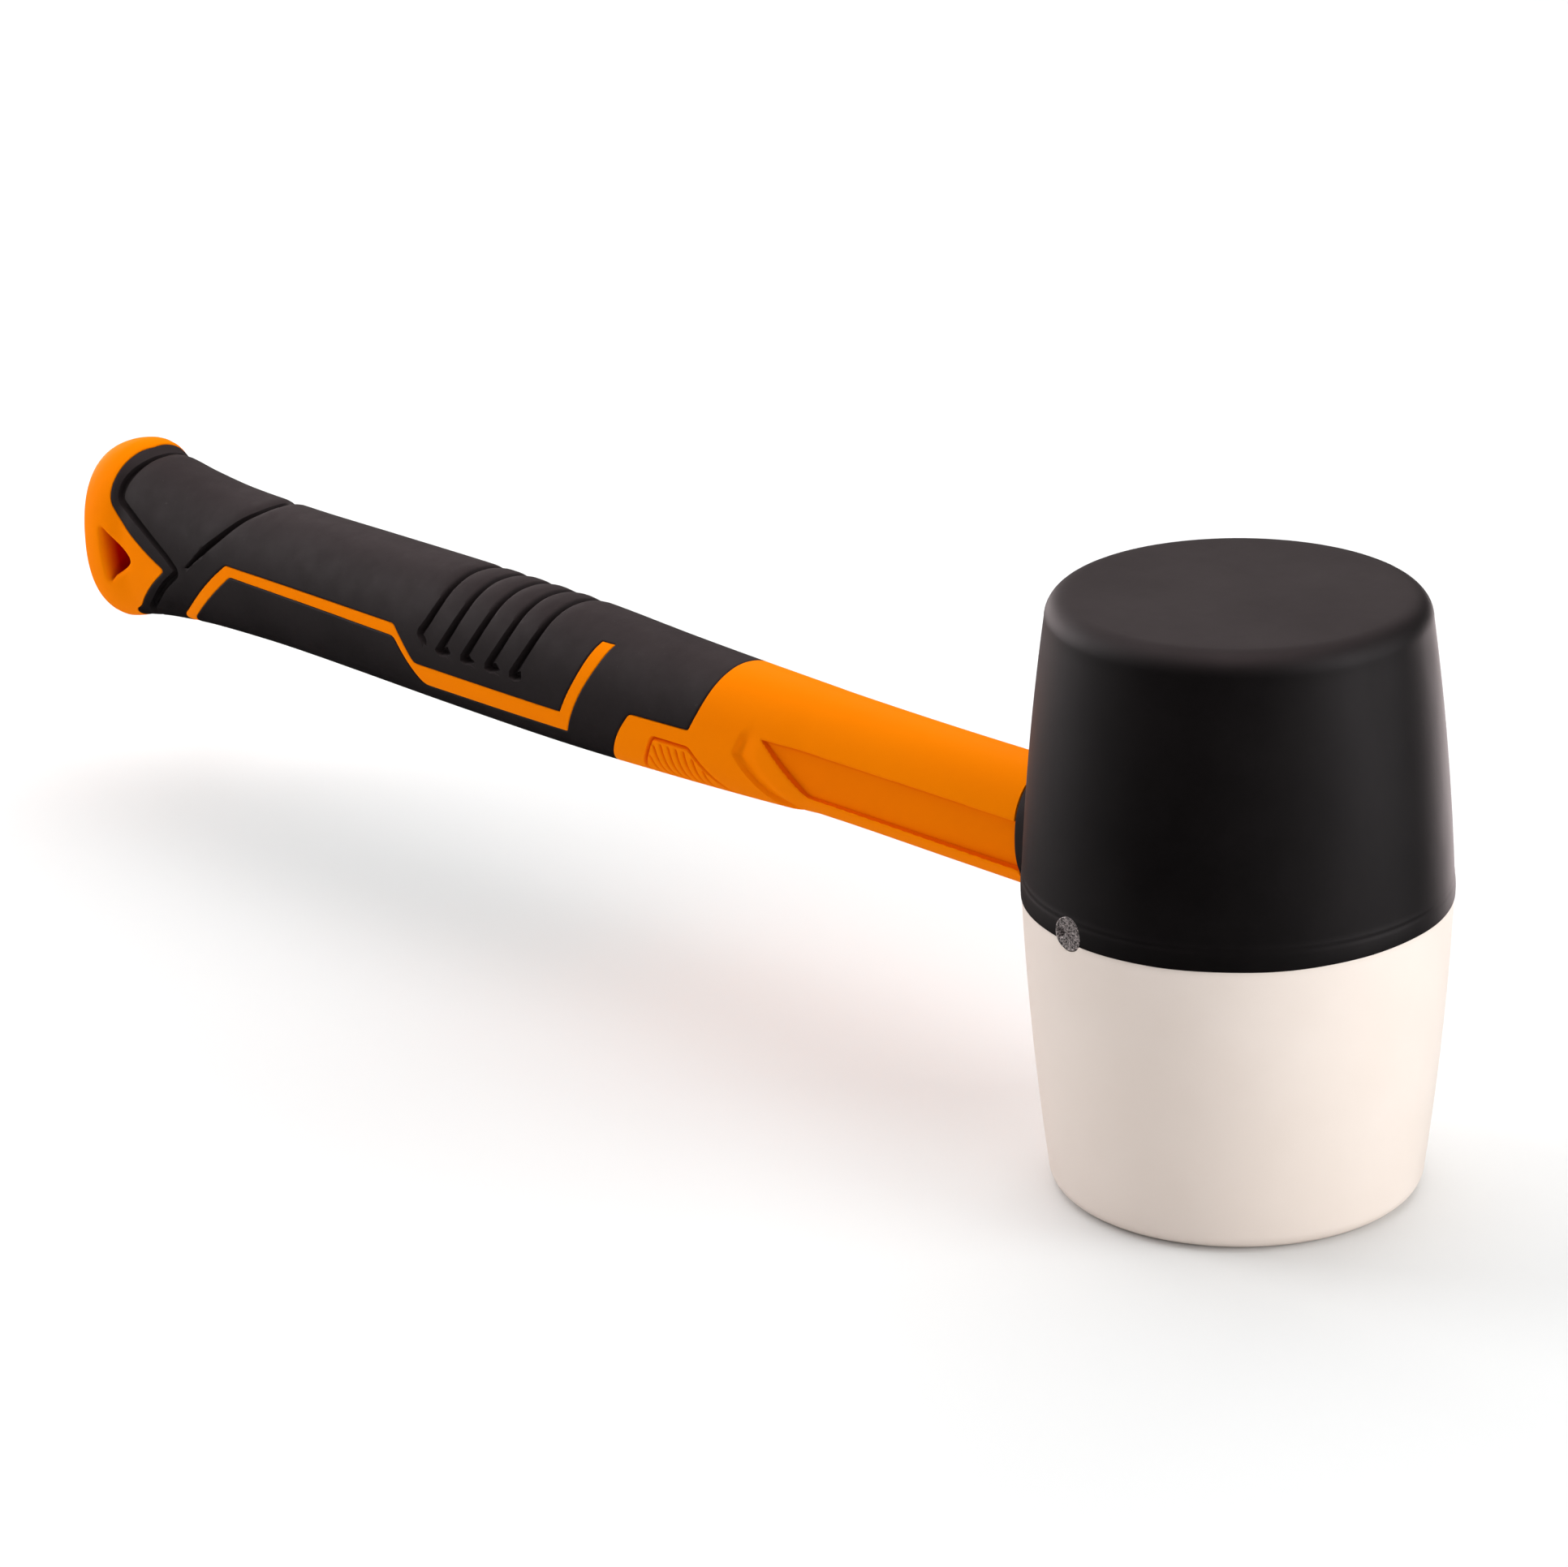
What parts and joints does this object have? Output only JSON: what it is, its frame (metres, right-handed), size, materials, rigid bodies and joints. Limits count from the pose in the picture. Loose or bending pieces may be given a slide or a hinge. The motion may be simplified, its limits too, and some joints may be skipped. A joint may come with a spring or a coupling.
{
  "type": "rubber mallet",
  "caption": "Two-face rubber mallet with a black and a white rubber head, an orange handle with a soft black grip, and a hanging hole in its butt.",
  "frame": {"origin": "centre of the white striking face", "axes": "+Z along the head from the white face to the black face, and -X along the handle from the head to its butt"},
  "size_m": [0.3381, 0.0712, 0.103],
  "materials": {
    "black_rubber": "satin moulded",
    "white_rubber": "satin moulded",
    "soft_grip": "matt soft-touch",
    "orange_plastic": "satin moulded",
    "fibreglass": "pultruded rod",
    "steel": "sheared end"
  },
  "bodies": {
    "root": {"head_black_half": "black_rubber", "head_white_half": "white_rubber", "neck_collar": "soft_grip", "cross_pin": "steel", "handle_core": "fibreglass", "handle_jacket": "orange_plastic", "grip_sleeve": "soft_grip"}
  },
  "joints": []
}
